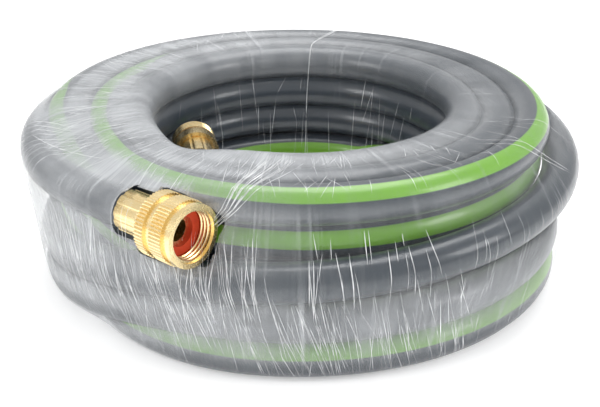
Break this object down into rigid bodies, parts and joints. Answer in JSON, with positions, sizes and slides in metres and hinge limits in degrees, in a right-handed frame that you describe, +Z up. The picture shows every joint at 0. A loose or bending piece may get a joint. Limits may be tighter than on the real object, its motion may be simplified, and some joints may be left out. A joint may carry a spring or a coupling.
{
  "type": "coiled water hose with couplings",
  "caption": "Water hose wound in a tight coil and wrapped in stretch film, with a brass swivel nut coupling outside and a brass male coupling in the hole.",
  "frame": {"origin": "centre of the coil on the floor it lies on", "axes": "+Z up along the coil's axis, -Y towards the side the swivel nut faces, +X to the right of that side"},
  "size_m": [0.3244, 0.3255, 0.1026],
  "materials": {
    "hose_cover": "satin flexible plastic cover, slate grey with a green stripe",
    "hose_liner": "smooth black inner layer",
    "hose_braid": "white reinforcing braid between the layers",
    "brass": "turned and knurled brass",
    "washer": "matt red rubber",
    "film": "clear stretch film, milky where it bridges gaps"
  },
  "bodies": {
    "hose": {"hose_coil": "hose_cover", "hose_outer_turn": "hose_cover", "hose_inner_end": "hose_cover", "female_hose_liner": "hose_liner", "female_hose_braid": "hose_braid", "female_hose_cover": "hose_cover", "female_stem": "brass", "female_ferrule": "brass", "male_hose_liner": "hose_liner", "male_hose_braid": "hose_braid", "male_hose_cover": "hose_cover", "male_stem": "brass", "male_ferrule": "brass", "stretch_film": "film"},
    "nut": {"swivel_nut": "brass", "nut_washer": "washer"}
  },
  "joints": [
    {"name": "nut_spin", "type": "hinge", "parent": "hose", "child": "nut", "pos_m": [-0.06136, -0.14119, 0.08302], "axis": [0.7513, -0.66, 0], "continuous": true}
  ]
}
